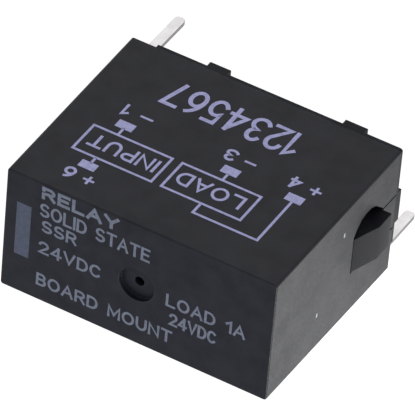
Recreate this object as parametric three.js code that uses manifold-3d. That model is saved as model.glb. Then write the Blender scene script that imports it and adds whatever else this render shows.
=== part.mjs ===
// Solid state relay for printed circuit boards: a moulded case snapped over a base that
// carries four blade terminals and a small circuit board.
// Millimetres. +Z points away from the host board, the origin is the centre of the seat
// plane that the feet rest on, -X is the load end and -Y is the face with the diagram.

import * as THREE from 'three';
import { mergeVertices } from 'three/addons/utils/BufferGeometryUtils.js';
import Module from 'manifold-3d';

const wasm = await Module();
wasm.setup();

// ---------------------------------------------------------------- driving dimensions

const CASE_LENGTH = 20.0;          // along X, at the open rim
const CASE_WIDTH = 10.0;           // along Y, at the open rim
const CASE_TOP = 16.4;
const RIM = 0.8;                   // height of the open rim above the seat plane
const DRAFT = 0.16;                // each wall leans in by this much up to the top
const END_WALL = 0.7;
const SIDE_WALL = 0.72;
const TOP_WALL = 0.8;
const CASE_CORNER = 0.2;
const TOP_EDGE = 0.12;

const VENT_RADIUS = 1.3;
const VENT_DEPTH = 0.38;
const VENT_HOLE_RADIUS = 0.36;

const WINDOW_BOTTOM = 2.5;         // the hook bears on this edge of the case
const WINDOW_TOP = 6.3;
const WINDOW_HALF = 1.43;
const SEAM_WIDTH = 0.12;
const SEAM_DEPTH = 0.1;

const FLANGE_BOTTOM = 0.45;
const FLANGE_TOP = 0.74;
const FLANGE_INSET = 0.05;
const PLUG_TOP = 1.6;
const PLUG_CLEARANCE = 0.06;
const FOOT_SPANS = [[-7.14, -5.5], [3.0, 4.55]];
const FOOT_DEPTH = 1.2;
const END_FOOT_HALF = 1.28;
const END_FOOT_DEPTH = 1.1;

const ARM_HALF = 1.37;
const ARM_THICKNESS = 0.6;
const ARM_BOTTOM = 1.0;
const ARM_TOP = 6.2;
const HOOK_REACH = 0.68;           // how far the hook stands out of the case wall
const HOOK_UNDERSIDE = 2.55;
const HOOK_LAND_TOP = 4.14;

const BLADE_WIDTH = 0.77;
const BLADE_THICKNESS = 0.33;
const BLADE_TIP = -3.85;
const TIP_CORNER_WIDTH = 0.3;
const TIP_CORNER_HEIGHT = 0.42;
const TIP_COINING = 0.05;
const BLADE_SHOULDER = 0.6;
const TAIL_WIDTH = 0.4;
const TAIL_TOP = 4.55;
const TERMINALS = [                // tail: offset of the narrow tail from the blade
  { number: 1, x: 8.87, y: 3.9, tail: -0.1 },
  { number: 3, x: -4.04, y: 3.9, tail: 0 },
  { number: 4, x: -9.08, y: 3.9, tail: 0.26 },
  { number: 6, x: 8.87, y: -3.9, tail: -0.1 },
];

const BOARD_BOTTOM = 2.9;
const BOARD_TOP = 3.9;
const BOARD_HALF_X = 9.2;
const BOARD_HALF_Y = 4.2;
const LEAD_END = 2.35;             // cut leads stop here, under the board
const FIT = 0.03;                  // clearance around a lead in its hole
const SMALL_WIRE = 0.22;           // wire lead radius

// ---------------------------------------------------------------- materials

function material(color, roughness, metalness) {
  return new THREE.MeshStandardMaterial({ color, roughness, metalness });
}

const blackPlastic = material(0x303035, 0.5, 0.0);
const tinnedMetal = material(0xd6d6d8, 0.25, 1.0);
const aluminium = material(0xb8bcc0, 0.4, 1.0);
const copperTab = material(0xb0a8a0, 0.35, 1.0);
const epoxy = material(0x1d1d20, 0.6, 0.0);
const laminate = material(0x2f6a3c, 0.5, 0.0);
const pottingResin = material(0x4a4038, 0.35, 0.0);
const blueCoating = material(0x2e5fa8, 0.45, 0.0);
const beigeCoating = material(0xcdb58c, 0.55, 0.0);
const glassBead = material(0xb5562e, 0.2, 0.0);
const solder = material(0xc2c4c8, 0.3, 1.0);
const chipCeramic = material(0x25272c, 0.45, 0.0);
const chipTan = material(0xb59a72, 0.5, 0.0);

// ---------------------------------------------------------------- geometry helpers

function toManifold(geometry) {
  const bare = geometry.clone();
  bare.deleteAttribute('normal');
  bare.deleteAttribute('uv');
  const merged = mergeVertices(bare, 1e-5);
  return new wasm.Manifold(new wasm.Mesh({
    numProp: 3,
    vertProperties: new Float32Array(merged.attributes.position.array),
    triVerts: new Uint32Array(merged.index.array),
  }));
}

function toGeometry(manifold) {
  const mesh = manifold.getMesh();
  const geometry = new THREE.BufferGeometry();
  geometry.setAttribute('position', new THREE.BufferAttribute(mesh.vertProperties, 3));
  geometry.setIndex(new THREE.BufferAttribute(mesh.triVerts, 1));
  return geometry;
}

function cut(geometry, tools) {
  return toGeometry(tools.reduce((body, tool) => body.subtract(toManifold(tool)), toManifold(geometry)));
}

function join(geometries) {
  const [first, ...rest] = geometries;
  return toGeometry(rest.reduce((body, piece) => body.add(toManifold(piece)), toManifold(first)));
}

function common(a, b) {
  return toGeometry(toManifold(a).intersect(toManifold(b)));
}

function box(x0, x1, y0, y1, z0, z1) {
  const geometry = new THREE.BoxGeometry(x1 - x0, y1 - y0, z1 - z0);
  return geometry.translate((x0 + x1) / 2, (y0 + y1) / 2, (z0 + z1) / 2);
}

function centredBox(x, y, width, depth, z0, z1) {
  return box(x - width / 2, x + width / 2, y - depth / 2, y + depth / 2, z0, z1);
}

function upright(x, y, radius, z0, z1, sides = 16) {
  const geometry = new THREE.CylinderGeometry(radius, radius, z1 - z0, sides);
  return geometry.rotateX(Math.PI / 2).translate(x, y, (z0 + z1) / 2);
}

function alongY(x, z, radius, y0, y1, sides = 24) {
  const geometry = new THREE.CylinderGeometry(radius, radius, y1 - y0, sides);
  return geometry.translate(x, (y0 + y1) / 2, z);
}

function outline(points) {
  return new THREE.Shape(points.map(([a, b]) => new THREE.Vector2(a, b)));
}

// An outline in (x, z), extruded from y0 to y1.
function prismAlongY(points, y0, y1) {
  const geometry = new THREE.ExtrudeGeometry(outline(points), { depth: y1 - y0, bevelEnabled: false });
  return geometry.rotateX(Math.PI / 2).translate(0, y1, 0);
}

// An outline in (y, z), extruded from x0 to x1.
function prismAlongX(points, x0, x1) {
  const geometry = new THREE.ExtrudeGeometry(outline(points), { depth: x1 - x0, bevelEnabled: false });
  const turn = new THREE.Matrix4().makeBasis(
    new THREE.Vector3(0, 1, 0), new THREE.Vector3(0, 0, 1), new THREE.Vector3(1, 0, 0));
  return geometry.applyMatrix4(turn).translate(x0, 0, 0);
}

function halfTurn(geometry) {
  return geometry.clone().rotateZ(Math.PI);
}

// A closed body whose level sections are rounded rectangles: { z, halfX, halfY, corner }.
function roundedLoft(levels, cornerSteps = 4) {
  const positions = [];
  const indices = [];
  const quarter = Math.PI / 2;
  const ring = 4 * (cornerSteps + 1);
  const signs = [[1, 1], [-1, 1], [-1, -1], [1, -1]];
  for (const { z, halfX, halfY, corner } of levels) {
    signs.forEach(([sx, sy], k) => {
      for (let i = 0; i <= cornerSteps; i += 1) {
        const angle = (k + i / cornerSteps) * quarter;
        const x = sx * (halfX - corner) + corner * Math.cos(angle);
        const y = sy * (halfY - corner) + corner * Math.sin(angle);
        positions.push(x, y, z);
      }
    });
  }
  for (let level = 0; level < levels.length - 1; level += 1) {
    for (let i = 0; i < ring; i += 1) {
      const a = level * ring + i;
      const b = level * ring + ((i + 1) % ring);
      indices.push(a, b, b + ring, a, b + ring, a + ring);
    }
  }
  const bottomCentre = positions.length / 3;
  const topCentre = bottomCentre + 1;
  const lastRing = (levels.length - 1) * ring;
  positions.push(0, 0, levels[0].z, 0, 0, levels[levels.length - 1].z);
  for (let i = 0; i < ring; i += 1) {
    const j = (i + 1) % ring;
    indices.push(bottomCentre, j, i, topCentre, lastRing + i, lastRing + j);
  }
  const geometry = new THREE.BufferGeometry();
  geometry.setAttribute('position', new THREE.Float32BufferAttribute(positions, 3));
  geometry.setIndex(indices);
  return geometry;
}

const relay = new THREE.Group();

function addPart(name, geometry, partMaterial) {
  const mesh = new THREE.Mesh(geometry, partMaterial);
  mesh.name = name;
  relay.add(mesh);
}

// ---------------------------------------------------------------- case

function caseHalf(fullSize, z) {
  return fullSize / 2 - DRAFT * (z - RIM) / (CASE_TOP - RIM);
}

function caseOuter() {
  const roundingSteps = 3;
  const roundingStart = CASE_TOP - TOP_EDGE;
  const levels = [];
  for (const z of [RIM, roundingStart]) {
    levels.push({ z, halfX: caseHalf(CASE_LENGTH, z), halfY: caseHalf(CASE_WIDTH, z), corner: CASE_CORNER });
  }
  for (let i = 1; i <= roundingSteps; i += 1) {
    const angle = (i / roundingSteps) * Math.PI / 2;
    const z = roundingStart + TOP_EDGE * Math.sin(angle);
    const inset = TOP_EDGE * (1 - Math.cos(angle));
    levels.push({
      z,
      halfX: caseHalf(CASE_LENGTH, z) - inset,
      halfY: caseHalf(CASE_WIDTH, z) - inset,
      corner: CASE_CORNER - 0.8 * inset,
    });
  }
  return roundedLoft(levels);
}

function caseCavity() {
  const levels = [RIM - 1, CASE_TOP - TOP_WALL].map((z) => ({
    z,
    halfX: caseHalf(CASE_LENGTH, z) - END_WALL,
    halfY: caseHalf(CASE_WIDTH, z) - SIDE_WALL,
    corner: CASE_CORNER,
  }));
  return roundedLoft(levels);
}

// The opening in the load end's wall: the hook's window and the relief beside it.
function hookWindow() {
  const wallSpan = [-CASE_LENGTH / 2 - 1, -CASE_LENGTH / 2 + END_WALL + 0.5];
  const points = [
    [WINDOW_HALF, WINDOW_BOTTOM], [WINDOW_HALF, WINDOW_TOP], [-1.62, WINDOW_TOP], [-2.12, 5.9],
    [-2.5, 5.45], [-2.66, 4.9], [-2.64, 4.2], [-2.4, 3.6], [-1.46, WINDOW_BOTTOM],
  ];
  return prismAlongX(points.reverse(), ...wallSpan);
}

// The shallow lines at both sides of the strap under the window.
function strapSeams() {
  const outer = -CASE_LENGTH / 2 - 1;
  const inner = -caseHalf(CASE_LENGTH, RIM) + SEAM_DEPTH;
  return [-1, 1].map((side) => centredBox(
    (outer + inner) / 2, side * (WINDOW_HALF - SEAM_WIDTH / 2), inner - outer, SEAM_WIDTH,
    RIM - 0.5, WINDOW_BOTTOM + 0.1));
}

function relayCase() {
  const loadEnd = [hookWindow(), ...strapSeams()];
  const inputEnd = loadEnd.map(halfTurn);
  const vent = [
    upright(0, 0, VENT_RADIUS, CASE_TOP - VENT_DEPTH, CASE_TOP + 1, 40),
    upright(0, 0, VENT_HOLE_RADIUS, CASE_TOP - TOP_WALL - 1, CASE_TOP + 1, 16),
  ];
  return cut(caseOuter(), [caseCavity(), ...loadEnd, ...inputEnd, ...vent]);
}

addPart('case', relayCase(), blackPlastic);

// ---------------------------------------------------------------- base

const PLUG_HALF_X = CASE_LENGTH / 2 - END_WALL - PLUG_CLEARANCE;
const PLUG_HALF_Y = CASE_WIDTH / 2 - SIDE_WALL - PLUG_CLEARANCE;
const POST_PLACES = [[-6.6, -3.2], [-6.6, 3.2], [6.4, -3.2], [6.4, 3.2]];

function tailHole({ x, y, tail }, top) {
  return centredBox(x + tail, y, TAIL_WIDTH + 2 * FIT, BLADE_THICKNESS + 2 * FIT, 0, top);
}

function terminalSlots(place) {
  const { x, y } = place;
  return [
    centredBox(x, y, BLADE_WIDTH + 2 * FIT, BLADE_THICKNESS + 2 * FIT, -1, BLADE_SHOULDER + FIT),
    tailHole(place, PLUG_TOP + 1),
  ];
}

function armPocket() {
  const inner = CASE_LENGTH / 2 - END_WALL - ARM_THICKNESS - 0.25;
  return box(inner, inner + 2, -ARM_HALF - 0.1, ARM_HALF + 0.1, ARM_BOTTOM - 0.1, PLUG_TOP + 1);
}

// The flange stops short of two opposite corners.
function flangeNotch() {
  return join([
    box(8.2, 11, -6, -PLUG_HALF_Y, -1, FLANGE_TOP + 0.01),
    box(9.6, 11, -6, -2.84, -1, FLANGE_TOP + 0.01),
  ]);
}

function relayBase() {
  const flange = {
    halfX: CASE_LENGTH / 2 - FLANGE_INSET, halfY: CASE_WIDTH / 2 - FLANGE_INSET, corner: CASE_CORNER,
  };
  const plug = { halfX: PLUG_HALF_X, halfY: PLUG_HALF_Y, corner: CASE_CORNER };
  const pieces = [
    roundedLoft([{ z: FLANGE_BOTTOM, ...flange }, { z: FLANGE_TOP, ...flange }]),
    roundedLoft([{ z: FLANGE_BOTTOM + 0.1, ...plug }, { z: PLUG_TOP, ...plug }]),
    ...POST_PLACES.map(([x, y]) => upright(x, y, 0.5, PLUG_TOP - 0.2, BOARD_BOTTOM, 16)),
  ];
  for (const side of [-1, 1]) {
    for (const [x0, x1] of FOOT_SPANS) {
      const y0 = side < 0 ? -flange.halfY : flange.halfY - FOOT_DEPTH;
      pieces.push(box(x0, x1, y0, y0 + FOOT_DEPTH, 0, FLANGE_BOTTOM + 0.1));
    }
    const x0 = side < 0 ? -flange.halfX : flange.halfX - END_FOOT_DEPTH;
    pieces.push(box(x0, x0 + END_FOOT_DEPTH, -END_FOOT_HALF, END_FOOT_HALF, 0, FLANGE_BOTTOM + 0.1));
  }
  const tools = [
    ...TERMINALS.flatMap(terminalSlots),
    armPocket(), halfTurn(armPocket()),
    flangeNotch(), halfTurn(flangeNotch()),
    box(-2.4, 2.4, -3.3, 3.3, -1, FLANGE_BOTTOM + 0.3),
  ];
  return cut(join(pieces), tools);
}

addPart('base', relayBase(), blackPlastic);

// The sprung arm of the input end: a strip with a wedge hook that fills the case window.
function latchArm() {
  const outer = PLUG_HALF_X - 0.06;
  const inner = outer - ARM_THICKNESS;
  const reach = CASE_LENGTH / 2 + HOOK_REACH - 0.02;
  const rampFoot = caseHalf(CASE_LENGTH, ARM_TOP);
  return prismAlongY([
    [inner, ARM_BOTTOM], [outer, ARM_BOTTOM], [outer, HOOK_UNDERSIDE], [reach, HOOK_UNDERSIDE],
    [reach, HOOK_LAND_TOP], [rampFoot, ARM_TOP], [inner + 0.25, ARM_TOP], [inner, ARM_TOP - 0.4],
  ], -ARM_HALF, ARM_HALF);
}

addPart('latch_arm_input', latchArm(), blackPlastic);
addPart('latch_arm_load', halfTurn(latchArm()), blackPlastic);

// ---------------------------------------------------------------- terminals

const boardHoles = [];

// The blade seen from the front, from its rounded tip up to the narrow tail.
function bladeOutline(x, tail) {
  const half = BLADE_WIDTH / 2;
  const quarter = Math.PI / 2;
  const tipSteps = 4;
  const points = [];
  for (const side of [-1, 1]) {
    for (let i = 0; i <= tipSteps; i += 1) {
      const angle = side < 0 ? (2 + i / tipSteps) * quarter : (3 + i / tipSteps) * quarter;
      points.push([
        x + side * (half - TIP_CORNER_WIDTH) + TIP_CORNER_WIDTH * Math.cos(angle),
        BLADE_TIP + TIP_CORNER_HEIGHT * (1 + Math.sin(angle)),
      ]);
    }
  }
  const tailRight = x + tail + TAIL_WIDTH / 2;
  const tailLeft = x + tail - TAIL_WIDTH / 2;
  points.push(
    [x + half, BLADE_SHOULDER], [tailRight, BLADE_SHOULDER], [tailRight, TAIL_TOP],
    [tailLeft, TAIL_TOP], [tailLeft, BLADE_SHOULDER], [x - half, BLADE_SHOULDER]);
  return points;
}

function terminal(place) {
  const { number, x, y, tail } = place;
  const half = BLADE_THICKNESS / 2;
  const front = prismAlongY(bladeOutline(x, tail), y - half, y + half);
  const coined = prismAlongX([
    [y - half + TIP_COINING, BLADE_TIP], [y + half - TIP_COINING, BLADE_TIP],
    [y + half, BLADE_TIP + 2 * TIP_COINING], [y + half, TAIL_TOP],
    [y - half, TAIL_TOP], [y - half, BLADE_TIP + 2 * TIP_COINING],
  ], x - 1, x + 1);
  addPart(`terminal_${number}`, common(front, coined), tinnedMetal);

  const hole = tailHole(place, TAIL_TOP + 1);
  boardHoles.push(hole);
  const footRadius = 0.4;
  const stretchX = Math.min(1.5, (BOARD_HALF_X - Math.abs(x + tail)) / footRadius);
  const stretchY = Math.min(0.95, (BOARD_HALF_Y - Math.abs(y)) / footRadius);
  const fillet = new THREE.CylinderGeometry(0.31, footRadius, 0.4, 20).rotateX(Math.PI / 2);
  fillet.scale(stretchX, stretchY, 1).translate(x + tail, y, BOARD_TOP + 0.2);
  addPart(`solder_joint_${number}`, cut(fillet, [hole]), solder);
}

TERMINALS.forEach(terminal);

// ---------------------------------------------------------------- leads

function wireHole(x, y, radius) {
  boardHoles.push(upright(x, y, radius + FIT, 0, BOARD_TOP + 1, 16));
}

function straightLead(name, x, y, top, radius = SMALL_WIRE) {
  wireHole(x, y, radius);
  addPart(name, upright(x, y, radius, LEAD_END, top, 12), tinnedMetal);
}

function flatLead(name, x, y, width, thickness, top) {
  boardHoles.push(centredBox(x, y, width + 2 * FIT, thickness + 2 * FIT, 0, BOARD_TOP + 1));
  addPart(name, centredBox(x, y, width, thickness, LEAD_END, top), tinnedMetal);
}

// A wire that leaves the top of an upright body at (x, y), bends over towards -Y or +Y
// and goes down through the board beside it.
function returnLead(name, x, y, bodyTop, span) {
  const bend = Math.abs(span) / 2;
  const path = new THREE.CurvePath();
  const crown = bodyTop + 0.4;
  path.add(new THREE.LineCurve3(new THREE.Vector3(x, y, bodyTop), new THREE.Vector3(x, y, crown)));
  const arc = [];
  const arcSteps = 8;
  for (let i = 0; i <= arcSteps; i += 1) {
    const angle = (i / arcSteps) * Math.PI;
    arc.push(new THREE.Vector3(
      x, y + Math.sign(span) * bend * (1 - Math.cos(angle)), crown + bend * Math.sin(angle)));
  }
  for (let i = 0; i < arcSteps; i += 1) {
    path.add(new THREE.LineCurve3(arc[i], arc[i + 1]));
  }
  path.add(new THREE.LineCurve3(
    new THREE.Vector3(x, y + span, crown), new THREE.Vector3(x, y + span, LEAD_END)));
  const section = new THREE.Shape();
  section.absarc(0, 0, SMALL_WIRE, 0, 2 * Math.PI);
  wireHole(x, y + span, SMALL_WIRE);
  addPart(name, new THREE.ExtrudeGeometry(section, {
    steps: 40, curveSegments: 5, bevelEnabled: false, extrudePath: path,
  }), tinnedMetal);
}

// ---------------------------------------------------------------- output transistor

const OUTPUT = { x: -3.9, width: 7.2, front: 1.0, back: 3.3, bottom: 5.4, top: 14.4, hole: 12.4 };
const TAB_THICKNESS = 0.3;
const SPREADER_THICKNESS = 0.35;
const SCREW_RADIUS = 0.95;

function outputTransistor() {
  const { x, width, front, back, bottom, top, hole } = OUTPUT;
  const chamfer = 0.35;
  const half = width / 2;
  const body = prismAlongY([
    [x - half, bottom + chamfer], [x - half + chamfer, bottom], [x + half - chamfer, bottom],
    [x + half, bottom + chamfer], [x + half, top - chamfer], [x + half - chamfer, top],
    [x - half + chamfer, top], [x - half, top - chamfer],
  ], front, back);
  const screwHole = alongY(x, hole, SCREW_RADIUS + 0.1, front - 1, back + 3);
  addPart('output_transistor', cut(body, [screwHole]), epoxy);

  const tabFront = back + 0.02;
  const tab = box(x - half + 0.2, x + half - 0.2, tabFront, tabFront + TAB_THICKNESS, bottom + 1.2, top + 0.3);
  addPart('output_transistor_tab', cut(tab, [screwHole]), copperTab);

  const plateFront = tabFront + TAB_THICKNESS + 0.02;
  const plate = box(x - half - 0.6, x + half + 1.6, plateFront, plateFront + SPREADER_THICKNESS, 4.9, 15.2);
  addPart('heat_spreader', cut(plate, [screwHole]), aluminium);

  const shank = alongY(x, hole, SCREW_RADIUS, front - 0.02, plateFront + SPREADER_THICKNESS - 0.02);
  const head = alongY(x, hole, 1.6, front - 0.85, front - 0.02);
  const driveSlot = box(x - 2, x + 2, front - 1, front - 0.5, hole - 0.2, hole + 0.2);
  addPart('spreader_screw', cut(join([shank, head]), [driveSlot]), tinnedMetal);

  [-2.3, 0, 2.3].forEach((offset, i) => {
    flatLead(`output_transistor_lead_${i + 1}`, x + offset, 2.2, 0.75, 0.45, bottom - 0.02);
  });
}

outputTransistor();

// ---------------------------------------------------------------- photocoupler

const COUPLER = { x: 4.0, halfX: 2.3, halfY: 2.55, bottom: 4.45, top: 7.75, pitch: 2.54, row: 3.15 };

function photocoupler() {
  const { x, halfX, halfY, bottom, top, pitch, row } = COUPLER;
  const middle = (bottom + top) / 2;
  const lean = 0.15;
  const body = prismAlongX([
    [-halfY + lean, bottom], [halfY - lean, bottom], [halfY, middle], [halfY - lean, top],
    [-halfY + lean, top], [-halfY, middle],
  ], x - halfX, x + halfX);
  const dimple = upright(x - halfX + 0.9, halfY - 1.0, 0.4, top - 0.12, top + 1, 20);
  addPart('photocoupler', cut(body, [dimple]), epoxy);

  const thickness = 0.25;
  [[-1, -1], [-1, 1], [1, -1], [1, 1]].forEach(([sx, sy], i) => {
    const leadX = x + sx * pitch / 2;
    const shoulder = prismAlongX([
      [halfY + 0.02, middle - thickness / 2], [row - thickness / 2, middle - thickness / 2],
      [row - thickness / 2, BOARD_TOP + 0.3], [row + thickness / 2, BOARD_TOP + 0.3],
      [row + thickness / 2, middle + thickness / 2], [halfY + 0.02, middle + thickness / 2],
    ], leadX - 0.6, leadX + 0.6);
    const stem = centredBox(leadX, row, 0.5, thickness, LEAD_END, BOARD_TOP + 0.5);
    const lead = join([shoulder, stem]);
    boardHoles.push(centredBox(leadX, sy * row, 0.5 + 2 * FIT, thickness + 2 * FIT, 0, BOARD_TOP + 1));
    const placed = sy > 0 ? lead : lead.rotateZ(Math.PI).translate(2 * leadX, 0, 0);
    addPart(`photocoupler_lead_${i + 1}`, placed, tinnedMetal);
  });
}

photocoupler();

// ---------------------------------------------------------------- driver transistor

function driverTransistor() {
  const x = -5.9;
  const y = -1.9;
  const radius = 2.1;
  const bottom = 6.3;
  const shape = new THREE.Shape();
  shape.absarc(0, 0, radius, Math.PI * 0.86, Math.PI * 2.14);
  shape.closePath();
  const body = new THREE.ExtrudeGeometry(shape, { depth: 4.5, bevelEnabled: false, curveSegments: 20 });
  addPart('driver_transistor', body.translate(x, y, bottom), epoxy);
  [-1.27, 0, 1.27].forEach((offset, i) => {
    flatLead(`driver_transistor_lead_${i + 1}`, x + offset, y, 0.42, 0.36, bottom - 0.02);
  });
}

driverTransistor();

// ---------------------------------------------------------------- surge absorber

function surgeAbsorber() {
  const x = -1.0;
  const y = -2.5;
  const z = 9.6;
  const radius = 2.3;
  const profile = [];
  const edgeSteps = 5;
  const halfThickness = 0.85;
  profile.push(new THREE.Vector2(0, -halfThickness));
  for (let i = 0; i <= edgeSteps; i += 1) {
    const angle = -Math.PI / 2 + (i / edgeSteps) * Math.PI;
    profile.push(new THREE.Vector2(
      radius - halfThickness + halfThickness * Math.cos(angle), halfThickness * Math.sin(angle)));
  }
  profile.push(new THREE.Vector2(0, halfThickness));
  const disc = new THREE.LatheGeometry(profile, 28).translate(x, y, z);
  addPart('surge_absorber', disc, blueCoating);
  [-1.25, 1.25].forEach((offset, i) => {
    const top = z - Math.sqrt(radius ** 2 - offset ** 2) + 0.02;
    straightLead(`surge_absorber_lead_${i + 1}`, x + offset, y, top - 0.12);
  });
}

surgeAbsorber();

// ---------------------------------------------------------------- upright axial parts

function axialBody(radius, waist, length) {
  const cap = length * 0.22;
  const profile = [
    [0, 0], [radius * 0.8, 0], [radius, cap * 0.3], [radius, cap], [waist, cap * 1.4],
    [waist, length - cap * 1.4], [radius, length - cap], [radius, length - cap * 0.3],
    [radius * 0.8, length], [0, length],
  ];
  return new THREE.LatheGeometry(profile.map(([a, b]) => new THREE.Vector2(a, b)), 20).rotateX(Math.PI / 2);
}

function axialPart({ name, x, y, radius, waist, length, span, bodyMaterial }) {
  const bottom = 4.6;
  const top = bottom + length;
  addPart(name, axialBody(radius, waist, length).translate(x, y, bottom), bodyMaterial);
  straightLead(`${name}_lead_1`, x, y, bottom - 0.02);
  returnLead(`${name}_lead_2`, x, y, top + 0.02, span);
}

axialPart({
  name: 'input_resistor', x: 7.45, y: -3.05, radius: 0.85, waist: 0.7, length: 3.4, span: 1.35,
  bodyMaterial: beigeCoating,
});
axialPart({
  name: 'protection_diode', x: 7.45, y: 3.05, radius: 0.8, waist: 0.8, length: 3.0, span: -1.3,
  bodyMaterial: glassBead,
});

// ---------------------------------------------------------------- chip parts

addPart('chip_resistor_1', centredBox(-0.6, -0.6, 2.0, 1.25, BOARD_TOP + 0.02, BOARD_TOP + 0.55), chipCeramic);
addPart('chip_resistor_2', centredBox(-3.4, -0.2, 1.25, 2.0, BOARD_TOP + 0.02, BOARD_TOP + 0.55), chipCeramic);
addPart('chip_capacitor', centredBox(0.3, -3.3, 1.25, 0.8, BOARD_TOP + 0.02, BOARD_TOP + 0.8), chipTan);

// ---------------------------------------------------------------- circuit board and seal

function circuitBoard() {
  const armRoom = box(7.5, 11, -ARM_HALF - 0.3, ARM_HALF + 0.3, 0, 10);
  const blank = roundedLoft([BOARD_BOTTOM, BOARD_TOP].map((z) => ({
    z, halfX: BOARD_HALF_X, halfY: BOARD_HALF_Y, corner: 0.3,
  })));
  return cut(blank, [armRoom, halfTurn(armRoom), ...boardHoles]);
}

addPart('circuit_board', circuitBoard(), laminate);

function resinSeal() {
  const gap = 0.05;
  const sealBottom = PLUG_TOP + 0.02;
  const sealTop = PLUG_TOP + 0.5;
  const blank = roundedLoft([sealBottom, sealTop].map((z) => ({
    z, halfX: PLUG_HALF_X - gap, halfY: PLUG_HALF_Y - gap, corner: CASE_CORNER,
  })));
  const armRoom = box(8.2, 11, -ARM_HALF - 0.2, ARM_HALF + 0.2, 0, 10);
  const tools = [
    armRoom, halfTurn(armRoom),
    ...POST_PLACES.map(([x, y]) => upright(x, y, 0.55, 0, 10, 16)),
    ...TERMINALS.map((place) => tailHole(place, TAIL_TOP)),
  ];
  return cut(blank, tools);
}

addPart('resin_seal', resinSeal(), pottingResin);

export default relay;
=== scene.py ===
"""Looks of a board-mounted solid state relay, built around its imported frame.

Lengths are in metres in the frame's axes: +Z away from the host board, -X the load end,
-Y the broad face with the connection diagram. MM turns millimetres into metres.
"""
import math

import bmesh
import bpy
from mathutils import Matrix, Vector


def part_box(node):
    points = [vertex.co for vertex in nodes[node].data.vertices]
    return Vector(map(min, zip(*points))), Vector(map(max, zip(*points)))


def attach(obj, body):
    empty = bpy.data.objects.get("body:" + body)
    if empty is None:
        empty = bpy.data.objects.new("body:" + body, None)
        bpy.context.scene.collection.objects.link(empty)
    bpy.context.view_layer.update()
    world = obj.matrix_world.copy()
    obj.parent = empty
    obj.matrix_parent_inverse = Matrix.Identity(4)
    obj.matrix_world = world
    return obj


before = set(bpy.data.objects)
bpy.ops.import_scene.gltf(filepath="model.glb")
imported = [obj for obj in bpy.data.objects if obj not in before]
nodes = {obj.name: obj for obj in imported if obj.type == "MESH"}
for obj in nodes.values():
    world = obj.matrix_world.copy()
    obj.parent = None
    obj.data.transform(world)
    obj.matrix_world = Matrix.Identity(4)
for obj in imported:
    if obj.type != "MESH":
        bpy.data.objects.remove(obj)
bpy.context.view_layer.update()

MM = 0.001
scene = bpy.context.scene

CASE_LOW, CASE_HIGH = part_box("case")
BOARD_LOW, BOARD_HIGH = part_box("circuit_board")
TERMINAL_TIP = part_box("terminal_1")[0].z
WALL_DRAFT = 0.16 * MM
WALL_LEAN = WALL_DRAFT / (CASE_HIGH.z - CASE_LOW.z)
INK_THICKNESS = 0.01 * MM
STROKE_STEP = 0.0015       # mm between the heights of following pen strokes
STROKE_CYCLE = 0.006       # mm after which those heights start again

EDGE_ANGLE = math.radians(30.0)
EDGE_SEGMENTS = 2
FLAT_ANGLE = math.radians(0.5)
WELD_GAP = 0.0005 * MM

LIGHT_TARGET = Vector((0.0, 0.0, 6.0)) * MM
SKY_HORIZON = (0.05, (1.0, 1.0, 1.0, 1.0))
SKY_OVERHEAD = (0.4, (0.80, 0.82, 0.87, 1.0))
FLOOR_RADIUS = 1.5
FLOOR_GAP = 0.02 * MM
# Painted pool of light on the floor: its glow rises from 1.0 at the outer radius to this strength within
# the inner radius.
GLOW_CENTRE = (-22.0 * MM, 20.0 * MM, 0.0)
GLOW_INNER = 4.0 * MM
GLOW_OUTER = 25.0 * MM
GLOW_STRENGTH = 1.95


# ---------------------------------------------------------------- camera, light and floor

def make_camera():
    """A long lens looking down at the diagram face, the load end and the closed top."""
    right = Vector((-0.86141, -0.06958, -0.50312))
    up = Vector((0.37488, -0.75545, -0.53736))
    forward = Vector((0.34270, 0.65150, -0.67683))
    place = Matrix((right, up, -forward)).transposed().to_4x4()
    place.translation = Vector((-146.25, -278.15, 296.36)) * MM
    data = bpy.data.cameras.new("camera")
    data.sensor_width = 36.0
    data.lens = 579.15
    data.clip_start = 0.01
    data.clip_end = 20.0
    camera = bpy.data.objects.new("camera", data)
    scene.collection.objects.link(camera)
    camera.matrix_world = place
    scene.camera = camera


def area_light(name, place, size, power):
    """A white disc light aimed at the relay."""
    data = bpy.data.lights.new(name, "AREA")
    data.shape = "DISK"
    data.size = size
    data.energy = power
    light = bpy.data.objects.new(name, data)
    scene.collection.objects.link(light)
    direction = LIGHT_TARGET - Vector(place)
    light.location = place
    light.rotation_euler = direction.to_track_quat("-Z", "Y").to_euler()


def make_world():
    """A sky that is white at the horizon and slightly blue grey overhead."""
    world = bpy.data.worlds.new("studio")
    scene.world = world
    world.use_nodes = True
    tree = world.node_tree
    direction = tree.nodes.new("ShaderNodeTexCoord").outputs["Generated"]
    split = tree.nodes.new("ShaderNodeSeparateXYZ")
    tree.links.new(direction, split.inputs[0])
    sky = tree.nodes.new("ShaderNodeValToRGB")
    for stop, (position, color) in zip(sky.color_ramp.elements, (SKY_HORIZON, SKY_OVERHEAD)):
        stop.position = position
        stop.color = color
    tree.links.new(split.outputs["Z"], sky.inputs["Fac"])
    tree.links.new(sky.outputs["Color"], tree.nodes["Background"].inputs["Color"])


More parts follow.
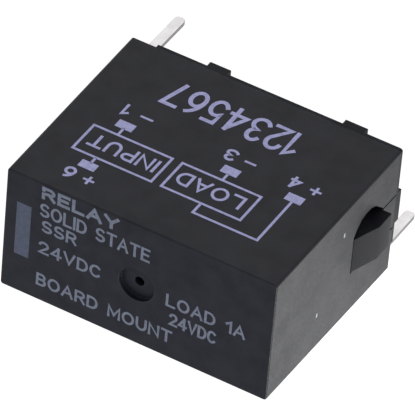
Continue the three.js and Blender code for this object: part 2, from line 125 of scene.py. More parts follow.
def make_floor():
    """A white sheet under the terminal tips that glows by itself, with a painted pool of light beyond the
    load end, open from below.
    """
    mesh = bpy.data.meshes.new("floor")
    work = bmesh.new()
    bmesh.ops.create_circle(work, cap_ends=True, segments=64, radius=FLOOR_RADIUS)
    work.to_mesh(mesh)
    work.free()
    floor = bpy.data.objects.new("floor", mesh)
    scene.collection.objects.link(floor)
    floor.location.z = TERMINAL_TIP - FLOOR_GAP

    sheet = Shader("floor_sheet")
    away = sheet.tree.nodes.new("ShaderNodeVectorMath")
    away.operation = "DISTANCE"
    sheet.link(sheet.coords, away.inputs[0])
    away.inputs[1].default_value = GLOW_CENTRE
    glow = sheet.tree.nodes.new("ShaderNodeMapRange")
    glow.interpolation_type = "SMOOTHSTEP"
    sheet.link(away.outputs["Value"], glow.inputs["Value"])
    glow.inputs["From Min"].default_value = GLOW_INNER
    glow.inputs["From Max"].default_value = GLOW_OUTER
    glow.inputs["To Min"].default_value = GLOW_STRENGTH
    glow.inputs["To Max"].default_value = 1.0
    sheet.set(
        Base_Color=(0.06, 0.06, 0.06),
        Roughness=0.9,
        Specular_IOR_Level=0.0,
        Emission_Color=(1.0, 1.0, 1.0),
        Emission_Strength=glow.outputs["Result"],
    )
    underside = sheet.tree.nodes.new("ShaderNodeMixShader")
    sheet.link(sheet.tree.nodes.new("ShaderNodeNewGeometry").outputs["Backfacing"], underside.inputs[0])
    sheet.link(sheet.surface.outputs["BSDF"], underside.inputs[1])
    sheet.link(sheet.tree.nodes.new("ShaderNodeBsdfTransparent").outputs["BSDF"], underside.inputs[2])
    sheet.link(underside.outputs["Shader"], sheet.tree.nodes["Material Output"].inputs["Surface"])
    mesh.materials.append(sheet.material)


# ---------------------------------------------------------------- materials

class Shader:
    """A material with a Principled surface and short calls for its procedural nodes."""

    MIX_FACTOR, MIX_COLOR_A, MIX_COLOR_B = 0, 6, 7
    MIX_COLOR_OUT = 2

    def __init__(self, name):
        self.material = bpy.data.materials.new(name)
        self.material.use_nodes = True
        self.tree = self.material.node_tree
        self.surface = self.tree.nodes["Principled BSDF"]
        self.coords = self.tree.nodes.new("ShaderNodeTexCoord").outputs["Object"]

    def link(self, value, socket):
        """Feeds a socket from another node's output, a colour or a plain value."""
        if isinstance(value, bpy.types.NodeSocket):
            self.tree.links.new(value, socket)
        elif isinstance(value, tuple) and len(value) == 3 and socket.type == "RGBA":
            socket.default_value = (*value, 1.0)
        else:
            socket.default_value = value

    def set(self, **values):
        for name, value in values.items():
            self.link(value, self.surface.inputs[name.replace("_", " ")])

    def noise(self, size, detail=3.0, roughness=0.55, stretch=(1.0, 1.0, 1.0)):
        """Noise whose grains are about size metres across."""
        mapping = self.tree.nodes.new("ShaderNodeMapping")
        self.link(self.coords, mapping.inputs["Vector"])
        mapping.inputs["Scale"].default_value = [s / size for s in stretch]
        node = self.tree.nodes.new("ShaderNodeTexNoise")
        self.link(mapping.outputs["Vector"], node.inputs["Vector"])
        node.inputs["Scale"].default_value = 1.0
        node.inputs["Detail"].default_value = detail
        node.inputs["Roughness"].default_value = roughness
        return node.outputs["Fac"]

    def ramp(self, factor, low, high, start=0.35, end=0.65):
        """A value between low and high as factor goes from start to end."""
        node = self.tree.nodes.new("ShaderNodeMapRange")
        self.link(factor, node.inputs["Value"])
        node.inputs["From Min"].default_value = start
        node.inputs["From Max"].default_value = end
        node.inputs["To Min"].default_value = low
        node.inputs["To Max"].default_value = high
        return node.outputs["Result"]

    def mix(self, factor, a, b):
        """Colour a where factor is zero, colour b where it is one."""
        node = self.tree.nodes.new("ShaderNodeMix")
        node.data_type = "RGBA"
        self.link(factor, node.inputs[self.MIX_FACTOR])
        self.link(a, node.inputs[self.MIX_COLOR_A])
        self.link(b, node.inputs[self.MIX_COLOR_B])
        return node.outputs[self.MIX_COLOR_OUT]

    def math(self, operation, a, b=0.0):
        node = self.tree.nodes.new("ShaderNodeMath")
        node.operation = operation
        self.link(a, node.inputs[0])
        self.link(b, node.inputs[1])
        return node.outputs[0]

    def axis(self, letter):
        node = self.tree.nodes.new("ShaderNodeSeparateXYZ")
        self.link(self.coords, node.inputs[0])
        return node.outputs[letter]

    def band(self, along, low, high):
        """One inside the span low to high of a coordinate, zero outside it."""
        above = self.math("GREATER_THAN", along, low)
        below = self.math("LESS_THAN", along, high)
        return self.math("MULTIPLY", above, below)

    def side_faces(self, letter, limit=0.6):
        """One on the faces that look along an axis of the piece, zero on the others."""
        node = self.tree.nodes.new("ShaderNodeSeparateXYZ")
        self.link(self.tree.nodes.new("ShaderNodeTexCoord").outputs["Normal"], node.inputs[0])
        return self.math("GREATER_THAN", self.math("ABSOLUTE", node.outputs[letter]), limit)

    def edges(self, radius):
        """Rises towards one where the surface turns within a radius."""
        rounded = self.tree.nodes.new("ShaderNodeBevel")
        rounded.samples = 4
        rounded.inputs["Radius"].default_value = radius
        compare = self.tree.nodes.new("ShaderNodeVectorMath")
        compare.operation = "DOT_PRODUCT"
        self.link(rounded.outputs["Normal"], compare.inputs[0])
        self.link(self.tree.nodes.new("ShaderNodeNewGeometry").outputs["Normal"], compare.inputs[1])
        return self.ramp(compare.outputs["Value"], 1.0, 0.0, 0.80, 0.99)

    def bump(self, height, depth, normal=None):
        """Relief of a depth in metres, on top of an earlier relief if one is given."""
        node = self.tree.nodes.new("ShaderNodeBump")
        node.inputs["Strength"].default_value = 1.0
        node.inputs["Distance"].default_value = depth
        self.link(height, node.inputs["Height"])
        if normal is not None:
            self.link(normal, node.inputs["Normal"])
        self.link(node.outputs["Normal"], self.surface.inputs["Normal"])
        return node.outputs["Normal"]


def moulded_plastic(name, dark, light, roughness, specular):
    """Black thermoplastic from a spark-eroded mould: fine grain, faint clouding, and a painted highlight
    along the edges.
    """
    shader = Shader(name)
    clouds = shader.noise(1.5 * MM, detail=4.0)
    specks = shader.noise(0.22 * MM, detail=2.0)
    tone = shader.math("ADD", shader.math("MULTIPLY", clouds, 0.6), shader.math("MULTIPLY", specks, 0.4))
    # Painted highlight: where the surface turns within 0.07 mm the colour goes towards seven times the
    # light tone, patchy with the clouding.
    painted_edge_highlight = shader.math("MULTIPLY", shader.edges(0.07 * MM), shader.ramp(clouds, 0.2, 0.9))
    body = shader.mix(shader.ramp(tone, 0.0, 1.0), dark, light)
    shader.set(
        Base_Color=shader.mix(painted_edge_highlight, body, tuple(7.0 * c for c in light)),
        Roughness=shader.ramp(tone, roughness - 0.06, roughness + 0.08),
        Specular_IOR_Level=shader.ramp(clouds, 0.9 * specular, 1.1 * specular),
    )
    shader.bump(shader.noise(0.07 * MM, detail=2.0), 0.003 * MM)
    return shader.material


def printed_ink(name, color):
    """Pad-printed ink, slightly uneven, with pinholes of the plastic beneath."""
    shader = Shader(name)
    patches = shader.noise(0.35 * MM, detail=3.0)
    pinholes = shader.noise(0.1 * MM, detail=2.0)
    thin = shader.ramp(patches, 0.6, 1.0)
    dull = tuple(0.45 * c for c in color)
    shader.set(
        Base_Color=shader.mix(shader.math("MULTIPLY", thin, shader.ramp(pinholes, 0.7, 1.0)), dull, color),
        Roughness=0.6,
        Specular_IOR_Level=0.25,
    )
    shader.bump(pinholes, 0.002 * MM)
    return shader.material


def plated_metal(name, color, roughness, stretch=(1.0, 1.0, 1.0),
                 grain=0.12 * MM, depth=0.0012 * MM, painted_shade_axis=None):
    """Plated strip or wire: drawn or rolled lines, a little tarnish, and painted shade in flat dark grey
    on the faces that look along one axis.
    """
    shader = Shader(name)
    lines = shader.noise(grain, detail=3.0, stretch=stretch)
    tarnish = shader.noise(0.9 * MM, detail=3.0)
    darker = tuple(0.86 * c for c in color)
    plating = shader.mix(shader.ramp(tarnish, 0.0, 1.0), darker, color)
    if painted_shade_axis:
        # Painted shade: the faces that look along this axis get a flat dark grey in place of the plating.
        plating = shader.mix(shader.side_faces(painted_shade_axis), plating, (0.20, 0.19, 0.19))
    shader.set(
        Base_Color=plating,
        Roughness=shader.ramp(lines, roughness - 0.06, roughness + 0.1),
        Metallic=1.0,
    )
    shader.bump(lines, depth)
    return shader.material


def moulding_compound():
    """Matt filled epoxy of the semiconductor bodies."""
    shader = Shader("moulding_compound")
    grain = shader.noise(0.12 * MM, detail=4.0)
    shader.set(
        Base_Color=shader.mix(grain, (0.010, 0.010, 0.011), (0.026, 0.026, 0.028)),
        Roughness=shader.ramp(grain, 0.5, 0.7),
    )
    shader.bump(grain, 0.006 * MM)
    return shader.material


def board_laminate():
    """Green solder resist on top and underneath, with tracks under it, and bare fibre on the cut edges."""
    shader = Shader("board_laminate")
    height = shader.axis("Z")
    inside = shader.band(height, BOARD_LOW.z + 0.05 * MM, BOARD_HIGH.z - 0.05 * MM)
    weave = shader.noise(0.2 * MM, detail=2.0, stretch=(1.0, 1.0, 0.2))
    tracks = shader.tree.nodes.new("ShaderNodeTexBrick")
    mapping = shader.tree.nodes.new("ShaderNodeMapping")
    shader.link(shader.coords, mapping.inputs["Vector"])
    mapping.inputs["Scale"].default_value = [1.0 / MM] * 3
    shader.link(mapping.outputs["Vector"], tracks.inputs["Vector"])
    tracks.inputs["Scale"].default_value = 1.0
    tracks.inputs["Brick Width"].default_value = 3.1
    tracks.inputs["Row Height"].default_value = 1.45
    tracks.inputs["Mortar Size"].default_value = 0.22
    resist = shader.mix(tracks.outputs["Fac"], (0.010, 0.075, 0.024), (0.022, 0.15, 0.050))
    fibre = shader.mix(weave, (0.20, 0.18, 0.08), (0.34, 0.31, 0.16))
    shader.set(
        Base_Color=shader.mix(inside, resist, fibre),
        Roughness=shader.ramp(inside, 0.22, 0.75, 0.0, 1.0),
    )
    normal = shader.bump(tracks.outputs["Fac"], 0.02 * MM)
    shader.bump(weave, 0.003 * MM, normal)
    return shader.material


def sealing_resin():
    """Dark potting resin with a settled, slightly wavy surface."""
    shader = Shader("sealing_resin")
    flow = shader.noise(1.6 * MM, detail=2.0)
    shader.set(
        Base_Color=shader.mix(flow, (0.010, 0.009, 0.008), (0.028, 0.023, 0.018)),
        Roughness=shader.ramp(flow, 0.12, 0.3),
        Coat_Weight=0.4,
    )
    shader.bump(flow, 0.05 * MM)
    return shader.material


def banded_body(name, node, base, bands):
    """A lacquered axial body with painted rings: bands are (start, end, color) as shares of its length."""
    low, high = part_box(node)
    length = high.z - low.z
    shader = Shader(name)
    height = shader.axis("Z")
    color = shader.mix(shader.noise(0.5 * MM), base, tuple(0.8 * c for c in base))
    for start, end, paint in bands:
        ring = shader.band(height, low.z + start * length, low.z + end * length)
        color = shader.mix(ring, color, paint)
    shader.set(Base_Color=color, Roughness=0.32, Coat_Weight=0.3)
    shader.bump(shader.noise(0.25 * MM), 0.006 * MM)
    return shader.material


def dipped_coating():
    """Phenolic coat of the disc: orange-peel skin, glossy."""
    shader = Shader("dipped_coating")
    skin = shader.noise(0.45 * MM, detail=3.0)
    shader.set(
        Base_Color=shader.mix(skin, (0.012, 0.060, 0.25), (0.022, 0.11, 0.38)),
        Roughness=shader.ramp(skin, 0.25, 0.42),
    )
    shader.bump(skin, 0.02 * MM)
    return shader.material


def chip_body(name, node, along, face):
    """A ceramic chip whose two ends are tinned."""
    end_share = 0.2
    low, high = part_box(node)
    index = "XYZ".index(along)
    length = high[index] - low[index]
    shader = Shader(name)
    place = shader.axis(along)
    middle = shader.band(place, low[index] + end_share * length, high[index] - end_share * length)
    tin = shader.math("SUBTRACT", 1.0, middle)
    grain = shader.noise(0.15 * MM)
    body = shader.mix(grain, face, tuple(0.7 * c for c in face))
    shader.set(
        Base_Color=shader.mix(tin, body, (0.62, 0.62, 0.64)),
        Metallic=tin,
        Roughness=0.35,
    )
    shader.bump(grain, 0.004 * MM)
    return shader.material


# ---------------------------------------------------------------- finish of the CAD nodes

def soften(piece, width):
    """Small moulded or stamped radii on every edge of a CAD node, and smooth curved faces."""
    piece.data.polygons.foreach_set("use_smooth", [True] * len(piece.data.polygons))
    weld = piece.modifiers.new("weld", "WELD")
    weld.merge_threshold = WELD_GAP
    flats = piece.modifiers.new("flats", "DECIMATE")
    flats.decimate_type = "DISSOLVE"
    flats.angle_limit = FLAT_ANGLE
    edges = piece.modifiers.new("edges", "BEVEL")
    edges.width = width
    edges.segments = EDGE_SEGMENTS
    edges.limit_method = "ANGLE"
    edges.angle_limit = EDGE_ANGLE
    edges.harden_normals = True
    normals = piece.modifiers.new("normals", "WEIGHTED_NORMAL")
    normals.keep_sharp = True


def wear(piece, material):
    """Gives a CAD node one material."""
    piece.data.materials.clear()
    piece.data.materials.append(material)


# ---------------------------------------------------------------- printing

def arc(x, y, reach_x, reach_y, start, end, steps=12):
    """Points along an upright ellipse, from one angle to another in degrees."""
    angles = [math.radians(start + (end - start) * i / steps) for i in range(steps + 1)]
    return [(x + reach_x * math.cos(a), y + reach_y * math.sin(a)) for a in angles]


# Each letter is its width and the pen strokes through its own unit square.
LETTERS = {
    " ": (0.5, []),
    "+": (1.0, [[(0, 0.5), (1, 0.5)], [(0.5, 0), (0.5, 1)]]),
    "1": (0.45, [[(0, 0.76), (1, 1), (1, 0)]]),
    "2": (0.9, [arc(0.5, 0.72, 0.48, 0.28, 165, -35) + [(0, 0), (1, 0)]]),
    "3": (0.9, [arc(0.45, 0.75, 0.42, 0.25, 150, -90) + arc(0.45, 0.25, 0.52, 0.25, 90, -155)]),
    "4": (0.95, [[(0.74, 0), (0.74, 1)], [(0.74, 1), (0, 0.28), (1, 0.28)]]),
    "5": (0.9, [[(0.92, 1), (0.16, 1), (0.08, 0.55)] + arc(0.46, 0.33, 0.5, 0.33, 130, -150)]),
    "6": (0.9, [arc(0.98, 0.32, 0.96, 0.68, 108, 180), arc(0.5, 0.32, 0.48, 0.32, 180, -180, 20)]),
    "7": (0.85, [[(0, 1), (1, 1), (0.35, 0)]]),
    "A": (1.05, [[(0, 0), (0.5, 1), (1, 0)], [(0.2, 0.34), (0.8, 0.34)]]),
    "B": (0.85, [[(0, 1)] + arc(0.52, 0.76, 0.4, 0.24, 90, -90) + [(0, 0.52), (0, 1)],
                 [(0, 0.52)] + arc(0.52, 0.26, 0.48, 0.26, 90, -90) + [(0, 0), (0, 0.52)]]),
    "C": (1.0, [arc(0.52, 0.5, 0.52, 0.5, 45, 315)]),
    "D": (0.95, [[(0, 0), (0, 1)] + arc(0.42, 0.5, 0.58, 0.5, 90, -90) + [(0, 0)]]),
    "E": (0.8, [[(1, 1), (0, 1), (0, 0), (1, 0)], [(0, 0.52), (0.85, 0.52)]]),
    "I": (0.0, [[(0, 0), (0, 1)]]),
    "L": (0.8, [[(0, 1), (0, 0), (1, 0)]]),
    "M": (1.15, [[(0, 0), (0, 1), (0.5, 0.2), (1, 1), (1, 0)]]),
    "N": (0.95, [[(0, 0), (0, 1), (1, 0), (1, 1)]]),
    "O": (1.1, [arc(0.5, 0.5, 0.5, 0.5, 90, 450, 20)]),
    "P": (0.85, [[(0, 0), (0, 0.8)],
                 [(0, 0.7), (0, 1)] + arc(0.55, 0.74, 0.45, 0.26, 90, -90) + [(0, 0.48)]]),
    "R": (0.9, [[(0, 0), (0, 0.8)], [(0.5, 0.48), (1, 0)],
                [(0, 0.7), (0, 1)] + arc(0.55, 0.74, 0.4, 0.26, 90, -90) + [(0, 0.48)]]),
    "S": (0.9, [arc(0.5, 0.74, 0.46, 0.26, 35, 270) + arc(0.5, 0.24, 0.5, 0.24, 90, -145)]),
    "T": (0.95, [[(0, 1), (1, 1)], [(0.5, 1), (0.5, 0)]]),
    "U": (0.95, [[(0, 1)] + arc(0.5, 0.42, 0.5, 0.42, 180, 360) + [(1, 1)]]),
    "V": (1.05, [[(0, 1), (0.5, 0), (1, 1)]]),
    "Y": (1.0, [[(0, 1), (0.5, 0.48), (1, 1)], [(0.5, 0.48), (0.5, 0)]]),
}
LETTER_GAP = 0.42


def ribbon_sides(points, width):
    """Left and right edges of a pen stroke, mitred at its corners and square at its ends."""
    path = [Vector(p) for p in points]
    path = [p for i, p in enumerate(path) if i == 0 or (p - path[i - 1]).length > 1e-6]
    closed = (path[0] - path[-1]).length < 1e-6
    steps = [(b - a).normalized() for a, b in zip(path, path[1:])]
    if not closed:
        path[0] = path[0] - steps[0] * width / 2
        path[-1] = path[-1] + steps[-1] * width / 2
    sides = []
    for i, point in enumerate(path):
        before = steps[i - 1] if i > 0 or closed else steps[0]
        after = steps[i] if i < len(steps) else (steps[0] if closed else steps[-1])
        along = (before + after).normalized()
        normal = Vector((-along.y, along.x))
        reach = width / 2 / max(0.55, along.dot(after))
        sides.append((point + normal * reach, point - normal * reach))
    return sides


class Print:
    """Ink marks on one flat face, drawn in that face's own millimetres (right, up)."""

    def __init__(self, name, place):
        self.name = name
        self.place = place
        self.work = bmesh.new()
        self.lift = 0.0

    def ribbon(self, points, width):
        """One pen stroke, a hair above the one before so that crossings stay clean."""
        self.lift = (self.lift + STROKE_STEP) % STROKE_CYCLE
        sides = ribbon_sides(points, width)
        rows = [[self.work.verts.new((p.x, p.y, self.lift)) for p in pair] for pair in sides]
        for (left, right), (next_left, next_right) in zip(rows, rows[1:]):
            self.work.faces.new((left, right, next_right, next_left))

    def words(self, text, left, right, bottom, top, pen):
        """A line of letters that fills a box."""
        shares = [LETTERS[letter][0] for letter in text]
        unit = (right - left - pen) / (sum(shares) + LETTER_GAP * (len(text) - 1))
        height = top - bottom - pen
        x = left + pen / 2
        for letter, share in zip(text, shares):
            for stroke in LETTERS[letter][1]:
                points = [(x + a * share * unit, bottom + pen / 2 + b * height) for a, b in stroke]
                self.ribbon(points, pen)
            x += (share + LETTER_GAP) * unit

    def block(self, left, right, bottom, top):
        """A solid box."""
        middle = (bottom + top) / 2
        inset = (top - bottom) / 2
        self.ribbon([(left + inset, middle), (right - inset, middle)], top - bottom)

    def line(self, start, end, pen):
        self.ribbon([start, end], pen)

    def frame(self, left, right, bottom, top, pen):
        """A hollow box."""
        half = pen / 2
        low, high = bottom + half, top - half
        self.ribbon([
            (left + half, low), (right - half, low), (right - half, high), (left + half, high),
            (left + half, low),
        ], pen)

    def finish(self, material, body, slot):
        """Places the marks on their face as a thin film of ink that rides on a body."""
        mesh = bpy.data.meshes.new(self.name)
        self.work.to_mesh(mesh)
        self.work.free()
        mesh.transform(self.place)
        mesh.materials.append(material)
        piece = bpy.data.objects.new(self.name, mesh)
        scene.collection.objects.link(piece)
        film = piece.modifiers.new("film", "SOLIDIFY")
        film.thickness = INK_THICKNESS
        film.offset = 0.0
        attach(piece, body)


def diagram_face():
    """Maps (x, z) in mm to the broad -Y wall, which leans by its draft."""
    right = Vector((1.0, 0.0, 0.0))
    up = Vector((0.0, WALL_LEAN, 1.0))
    out = Vector((0.0, -1.0, WALL_LEAN))
    place = Matrix((right * MM, up * MM, out * MM)).transposed().to_4x4()
    place.translation = Vector((0.0, CASE_LOW.y - WALL_LEAN * CASE_LOW.z, 0.0))
    return place


def closed_top():
    """Maps (right, up) in mm to the top, read with the load end on the right."""
    place = Matrix.Diagonal((-MM, -MM, MM, 1.0))
    place.translation = Vector((0.0, 0.0, CASE_HIGH.z))
    return place


def board_top():
    """Maps (x, y) in mm to the component side of the circuit board."""
    place = Matrix.Diagonal((MM, MM, MM, 1.0))
    place.translation = Vector((0.0, 0.0, BOARD_HIGH.z))
    return place


def print_diagram(ink):
    """Two boxes, their four terminals and wires, and a number under them."""
    pen = 0.18
    digit_pen = 0.2
    box_bottom, box_top = 9.59, 12.44
    sheet = Print("diagram_print", diagram_face())
    sheet.frame(-4.9, 1.04, box_bottom, box_top, pen)
    sheet.frame(1.6, 7.57, box_bottom, box_top, pen)
    sheet.words("LOAD", -4.21, 0.57, 10.31, 11.58, digit_pen)
    sheet.words("INPUT", 2.07, 7.0, 10.31, 11.58, digit_pen)

    pad_bottom, pad_top = 8.26, 9.0
    for left, right in ((-7.24, -6.04), (-2.57, -1.36), (5.17, 6.4)):
        sheet.block(left, right, pad_bottom, pad_top)
    sheet.block(5.17, 6.36, 12.93, 13.64)
    wire_top = 13.39
    sheet.ribbon([(-6.64, pad_top), (-6.64, wire_top), (-1.97, wire_top), (-1.97, box_top)], pen)
    sheet.line((-1.97, pad_top), (-1.97, box_bottom), pen)
    sheet.line((5.74, pad_top), (5.74, box_bottom), pen)
    sheet.line((5.74, box_top), (5.74, 12.93), pen)

    digit_bottom, digit_top = 6.69, 7.83
    middle = (digit_bottom + digit_top) / 2
    sheet.words("+", -7.8, -7.0, middle - 0.4, middle + 0.4, pen)
    sheet.words("4", -6.3, -5.5, digit_bottom, digit_top, digit_pen)
    sheet.line((-2.95, middle), (-2.3, middle), pen)
    sheet.words("3", -1.6, -0.75, digit_bottom, digit_top, digit_pen)
    sheet.line((4.65, middle), (5.4, middle), pen)
    sheet.words("1", 6.25, 6.75, digit_bottom, digit_top, digit_pen)
    sheet.words("+", 4.6, 5.4, 14.1, 14.9, pen)
    sheet.words("6", 6.0, 6.85, 13.93, 15.06, digit_pen)
    sheet.words("1234567", -4.43, 5.3, 2.91, 5.4, 0.3)
    sheet.finish(ink, "case", "case_plastic")


# Lines on the top: text, left, right, bottom, top and pen width in mm.
TOP_LINES = (
    ("RELAY", -7.23, -1.57, 3.61, 4.64, 0.24),
    ("SOLID STATE", -7.3, 0.8, 2.17, 3.27, 0.18),
    ("SSR", -7.1, -4.5, 0.94, 1.93, 0.18),
    ("24VDC", -7.23, -2.57, -0.88, 0.15, 0.18),
    ("BOARD MOUNT", -7.23, 2.83, -3.59, -2.56, 0.18),
    ("LOAD 1A", 2.17, 7.97, -0.64, 0.39, 0.18),
    ("24VDC", 2.5, 5.97, -2.08, -1.05, 0.18),
)


def print_top(ink, bar_ink):
    """Lines of text and a plain bar beside them."""
    sheet = Print("top_print", closed_top())
    for line in TOP_LINES:
        sheet.words(*line)
    sheet.finish(ink, "case", "case_plastic")
    bar = Print("bar_print", closed_top())
    bar_middle, bar_width = -8.435, 1.07
    bar_bottom, bar_top = -1.77 + bar_width / 2, 2.52 - bar_width / 2
    bar.ribbon([(bar_middle, bar_bottom), (bar_middle, bar_top)], bar_width)
    bar.finish(bar_ink, "case", "case_plastic")


OUTLINED_PARTS = (
    "photocoupler", "output_transistor", "driver_transistor", "surge_absorber", "input_resistor",
    "protection_diode", "chip_resistor_1", "chip_resistor_2", "chip_capacitor",
)


def print_board(ink):
    """Component outlines, each round its part's own box and clear of the latch cut-outs."""
    sheet = Print("board_print", board_top())
    margin = 0.25
    reach_x, reach_y = 7.4, 4.1
    pen = 0.1
    for node in OUTLINED_PARTS:
        low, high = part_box(node)
        sheet.frame(
            max(low.x / MM - margin, -reach_x), min(high.x / MM + margin, reach_x),
            max(low.y / MM - margin, -reach_y), min(high.y / MM + margin, reach_y), pen)
    sheet.finish(ink, "base", "board_laminate")


def load_end():
    """Maps (-y, z) in mm to the wall of the load end, which leans by its draft."""
    right = Vector((0.0, -1.0, 0.0))
    up = Vector((WALL_LEAN, 0.0, 1.0))
    out = Vector((-1.0, 0.0, WALL_LEAN))
    place = Matrix((right * MM, up * MM, out * MM)).transposed().to_4x4()
    place.translation = Vector((CASE_LOW.x - WALL_LEAN * CASE_LOW.z, 0.0, 0.0))
    return place


def pale_specks(ink):
    """Two pale grains moulded into the load end."""
    grain = 0.16
    sheet = Print("end_specks", load_end())
    for right, up in ((2.73, 7.68), (-2.02, 10.45)):
        sheet.line((right, up), (right + grain, up), grain)
    sheet.finish(ink, "case", "case_plastic")


# ---------------------------------------------------------------- solder and coating inside

def turned(work, x, y, profile, sides=20):
    """A closed upright turned body; profile is (radius, z) from its lower to its upper centre."""
    rings = []
    for radius, z in profile:
        if radius == 0.0:
            rings.append([work.verts.new((x, y, z))])
            continue
        rings.append([
            work.verts.new((x + radius * math.cos(a), y + radius * math.sin(a), z))
            for a in (2 * math.pi * k / sides for k in range(sides))
        ])
    for lower, upper in zip(rings, rings[1:]):
        for k in range(sides):
            corners = [lower[k % len(lower)], lower[(k + 1) % len(lower)],
                       upper[(k + 1) % len(upper)], upper[k % len(upper)]]
            distinct = list(dict.fromkeys(corners))
            work.faces.new(distinct)


def base_piece(name, work, material):
    """Turns built geometry into a smooth piece that rides on the base."""
    mesh = bpy.data.meshes.new(name)
    bmesh.ops.recalc_face_normals(work, faces=work.faces)
    work.to_mesh(mesh)
    work.free()
    mesh.materials.append(material)
    mesh.polygons.foreach_set("use_smooth", [True] * len(mesh.polygons))
    piece = bpy.data.objects.new(name, mesh)
    scene.collection.objects.link(piece)
    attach(piece, "base")


def lead_ends():
    """Centre and half width of every lead that stands out under the board."""
    ends = []
    for name, piece in nodes.items():
        if "_lead_" not in name:
            continue
        low = min(v.co.z for v in piece.data.vertices)
        tip = [v.co for v in piece.data.vertices if v.co.z < low + 0.01 * MM]
        xs = [p.x for p in tip]
        ys = [p.y for p in tip]
        half = max(max(xs) - min(xs), max(ys) - min(ys)) / 2
        ends.append(((max(xs) + min(xs)) / 2, (max(ys) + min(ys)) / 2, half))
    return ends


def solder_leads(material):
    """A ring pad on each side of the board and a hollow-sided solder cone under it."""
    work = bmesh.new()
    under = BOARD_LOW.z
    over = BOARD_HIGH.z
    wetting = 0.03 * MM
    for x, y, half in lead_ends():
        pad = half + 0.24 * MM
        cone = [(0.0, under - 0.5 * MM), (half + wetting, under - 0.46 * MM)]
        for step in range(1, 6):
            rise = step / 5
            radius = half + wetting + (pad - half - wetting) * rise ** 2.4
            cone.append((radius, under - 0.46 * MM + 0.44 * MM * rise))
        cone += [(pad, under), (0.0, under)]
        turned(work, x, y, cone)
        turned(work, x, y, [(0.0, over), (pad, over), (pad - 0.04 * MM, over + 0.03 * MM),
                            (half + 0.06 * MM, over + 0.07 * MM), (0.0, over + 0.09 * MM)])
    base_piece("lead_solder", work, material)


def coating_drips(material):
    """The disc's coating runs down its two leads."""
    work = bmesh.new()
    disc_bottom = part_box("surge_absorber")[0].z
    for number in (1, 2):
        lead_low, lead_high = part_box(f"surge_absorber_lead_{number}")
        x = (lead_low.x + lead_high.x) / 2
        y = (lead_low.y + lead_high.y) / 2
        half = (lead_high.x - lead_low.x) / 2
        top = lead_high.z + 0.5 * MM
        bottom = disc_bottom - 0.35 * MM
        run = [(0.0, bottom)]
        for step in range(7):
            rise = step / 6
            run.append((half + 0.04 * MM + 0.34 * MM * rise ** 2, bottom + (top - bottom) * rise))
        turned(work, x, y, run + [(0.0, top)])
    base_piece("coating_drips", work, material)


# ---------------------------------------------------------------- making

scene.view_settings.view_transform = "Standard"
make_camera()
make_world()
make_floor()
area_light("overhead", (-0.05, -0.10, 0.45), 0.25, 0.5)
area_light("edge_glow", (-0.305, 0.293, 0.154), 0.14, 1.2)

case_plastic = moulded_plastic(
    "case_plastic", dark=(0.0038, 0.0040, 0.0075),
    light=(0.0078, 0.0082, 0.0125), roughness=0.42, specular=0.20)
base_plastic = moulded_plastic(
    "base_plastic", dark=(0.0060, 0.0062, 0.0090),
    light=(0.0110, 0.0113, 0.0145), roughness=0.45, specular=0.10)
rolled_tin = plated_metal("rolled_tin", (0.78, 0.76, 0.77), 0.24, stretch=(1.0, 1.0, 0.12), painted_shade_axis="X")
drawn_wire = plated_metal("drawn_wire", (0.74, 0.74, 0.76), 0.26, stretch=(1.0, 1.0, 0.15))
solder = plated_metal("solder", (0.66, 0.66, 0.69), 0.2, grain=0.3 * MM, depth=0.01 * MM)
mill_sheet = plated_metal("mill_sheet", (0.66, 0.67, 0.69), 0.36, stretch=(0.1, 1.0, 1.0))
tab_copper = plated_metal("tab_copper", (0.60, 0.56, 0.52), 0.3)
screw_steel = plated_metal("screw_steel", (0.60, 0.60, 0.62), 0.3)
epoxy = moulding_compound()
blue_coat = dipped_coating()

CHIP_BLACK = (0.012, 0.012, 0.015)
RESISTOR_BANDS = (
    (0.14, 0.22, (0.30, 0.02, 0.01)),
    (0.34, 0.41, (0.30, 0.02, 0.01)),
    (0.50, 0.57, (0.20, 0.05, 0.02)),
    (0.78, 0.86, (0.45, 0.30, 0.05)),
)
DIODE_BANDS = ((0.72, 0.86, (0.50, 0.50, 0.52)),)

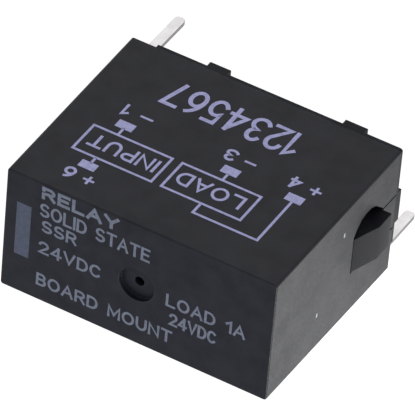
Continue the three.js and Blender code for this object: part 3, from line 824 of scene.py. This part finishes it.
# The material and the edge radius in mm of each node, by the longest name that it starts with.
FINISHES = {
    "case": (case_plastic, 0.03),
    "base": (base_plastic, 0.03),
    "latch_arm": (base_plastic, 0.04),
    "terminal": (rolled_tin, 0.03),
    "solder_joint": (solder, 0.04),
    "circuit_board": (board_laminate(), 0.01),
    "resin_seal": (sealing_resin(), 0.03),
    "output_transistor": (epoxy, 0.06),
    "output_transistor_tab": (tab_copper, 0.04),
    "output_transistor_lead": (drawn_wire, 0.04),
    "heat_spreader": (mill_sheet, 0.04),
    "spreader_screw": (screw_steel, 0.08),
    "photocoupler": (epoxy, 0.06),
    "photocoupler_lead": (drawn_wire, 0.04),
    "driver_transistor": (epoxy, 0.08),
    "driver_transistor_lead": (drawn_wire, 0.04),
    "surge_absorber": (blue_coat, 0.001),
    "surge_absorber_lead": (drawn_wire, 0.03),
    "input_resistor": (
        banded_body("resistor_lacquer", "input_resistor", (0.55, 0.40, 0.24), RESISTOR_BANDS), 0.001),
    "input_resistor_lead": (drawn_wire, 0.03),
    "protection_diode": (
        banded_body("diode_moulding", "protection_diode", (0.020, 0.020, 0.022), DIODE_BANDS), 0.001),
    "protection_diode_lead": (drawn_wire, 0.03),
    "chip_resistor_1": (chip_body("chip_resistor_along_x", "chip_resistor_1", "X", CHIP_BLACK), 0.04),
    "chip_resistor_2": (chip_body("chip_resistor_along_y", "chip_resistor_2", "Y", CHIP_BLACK), 0.04),
    "chip_capacitor": (chip_body("chip_capacitor", "chip_capacitor", "X", (0.40, 0.27, 0.14)), 0.04),
}

for name, piece in nodes.items():
    family = max((key for key in FINISHES if name.startswith(key)), key=len)
    finish, radius = FINISHES[family]
    wear(piece, finish)
    soften(piece, radius * MM)

print_diagram(printed_ink("diagram_ink", (0.33, 0.33, 0.55)))
print_top(printed_ink("top_ink", (0.130, 0.145, 0.190)), printed_ink("bar_ink", (0.060, 0.070, 0.104)))
pale_specks(printed_ink("grain", (0.45, 0.46, 0.48)))
print_board(printed_ink("board_ink", (0.62, 0.62, 0.60)))
solder_leads(solder)
coating_drips(blue_coat)
